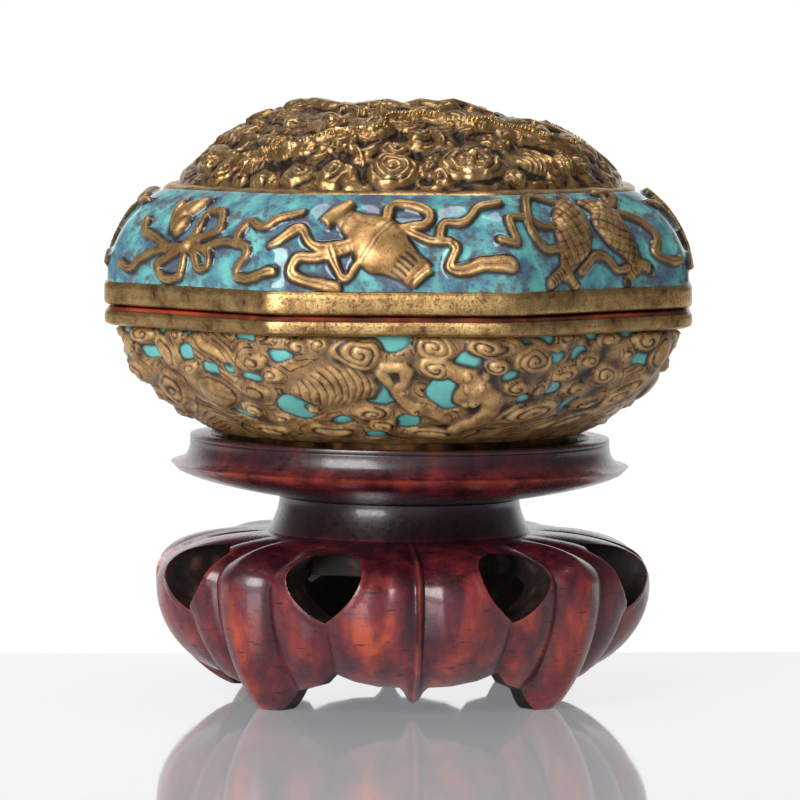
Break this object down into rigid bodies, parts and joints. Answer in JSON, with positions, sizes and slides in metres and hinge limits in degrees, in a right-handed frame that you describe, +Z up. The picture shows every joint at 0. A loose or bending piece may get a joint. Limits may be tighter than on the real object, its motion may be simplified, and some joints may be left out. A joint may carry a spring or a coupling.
{
  "type": "seal paste box",
  "caption": "Lidded octagonal seal paste box in gilt and glazed bronze with relief carving, resting on a round carved wooden stand.",
  "frame": {"origin": "on the ground under the middle of the box, level with the stand's feet", "axes": "+Z up, front (the side panel with the vase) towards -Y"},
  "size_m": [0.0906, 0.0906, 0.0908],
  "materials": {
    "lid": "gilt bronze relief, worn, with turquoise glaze on the sides",
    "box": "gilt bronze relief, worn, with turquoise glaze between the clouds",
    "stand": "dark red hardwood, polished"
  },
  "bodies": {
    "root": {"lid": "lid", "box": "box", "stand": "stand"}
  },
  "joints": []
}
